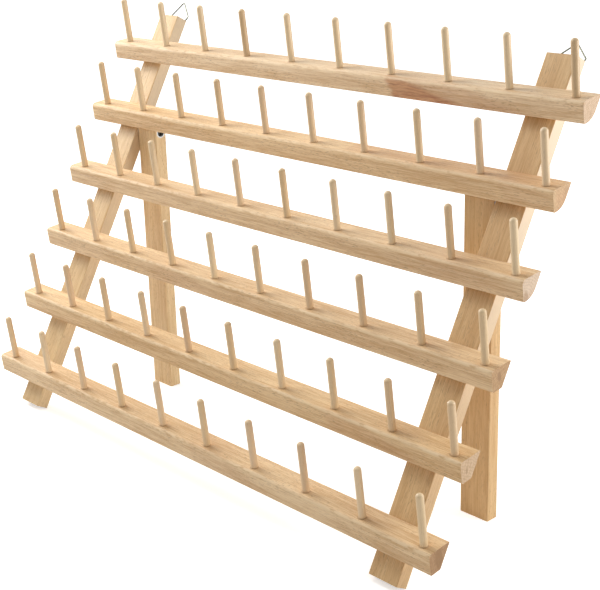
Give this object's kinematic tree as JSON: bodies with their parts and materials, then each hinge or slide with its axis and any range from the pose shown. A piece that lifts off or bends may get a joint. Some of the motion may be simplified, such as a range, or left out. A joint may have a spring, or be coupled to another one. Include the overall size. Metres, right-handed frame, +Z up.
{
  "type": "thread rack",
  "caption": "Folding wooden thread rack: six slanted rails of dowel pegs on two leaning uprights, with rear prop legs and wire hanging loops.",
  "frame": {"origin": "middle of the bounding box on the table, under the middle of the rails' length", "axes": "+X along the rails, to the right seen from the front; pegs and rails face -Y; +Z up; the rack is open, standing on its uprights and rear legs"},
  "size_m": [0.389, 0.146, 0.2695],
  "materials": {
    "beech": "clear satin varnish",
    "dowel": "clear satin varnish",
    "steel": "zinc plated",
    "wire": "plain drawn wire"
  },
  "bodies": {
    "frame": {"left_upright": "beech", "right_upright": "beech", "rail_1": "beech", "rail_2": "beech", "rail_3": "beech", "rail_4": "beech", "rail_5": "beech", "rail_6": "beech", "pegs_rail_1": "dowel", "pegs_rail_2": "dowel", "pegs_rail_3": "dowel", "pegs_rail_4": "dowel", "pegs_rail_5": "dowel", "pegs_rail_6": "dowel", "left_pivot_screw": "steel", "right_pivot_screw": "steel", "left_pivot_washer": "steel", "right_pivot_washer": "steel", "left_rail_screws": "steel", "right_rail_screws": "steel", "left_loop_staple": "wire", "right_loop_staple": "wire"},
    "left_leg": {"left_rear_leg": "beech"},
    "right_leg": {"right_rear_leg": "beech"},
    "left_loop": {"left_hanging_loop": "wire"},
    "right_loop": {"right_hanging_loop": "wire"}
  },
  "joints": [
    {"name": "left_leg_fold", "type": "hinge", "parent": "frame", "child": "left_leg", "pos_m": [-0.14165, 0.02072, 0.18333], "axis": [-1, 0, 0], "range_deg": [0, 29.2]},
    {"name": "right_leg_fold", "type": "hinge", "parent": "frame", "child": "right_leg", "pos_m": [0.14355, 0.02072, 0.18333], "axis": [-1, 0, 0], "range_deg": [0, 29.2]},
    {"name": "left_loop_swing", "type": "hinge", "parent": "frame", "child": "left_loop", "pos_m": [-0.16195, 0.05733, 0.24921], "axis": [-1, 0, 0], "range_deg": [-7, 173]},
    {"name": "right_loop_swing", "type": "hinge", "parent": "frame", "child": "right_loop", "pos_m": [0.16385, 0.05733, 0.24921], "axis": [-1, 0, 0], "range_deg": [-24, 156]}
  ]
}
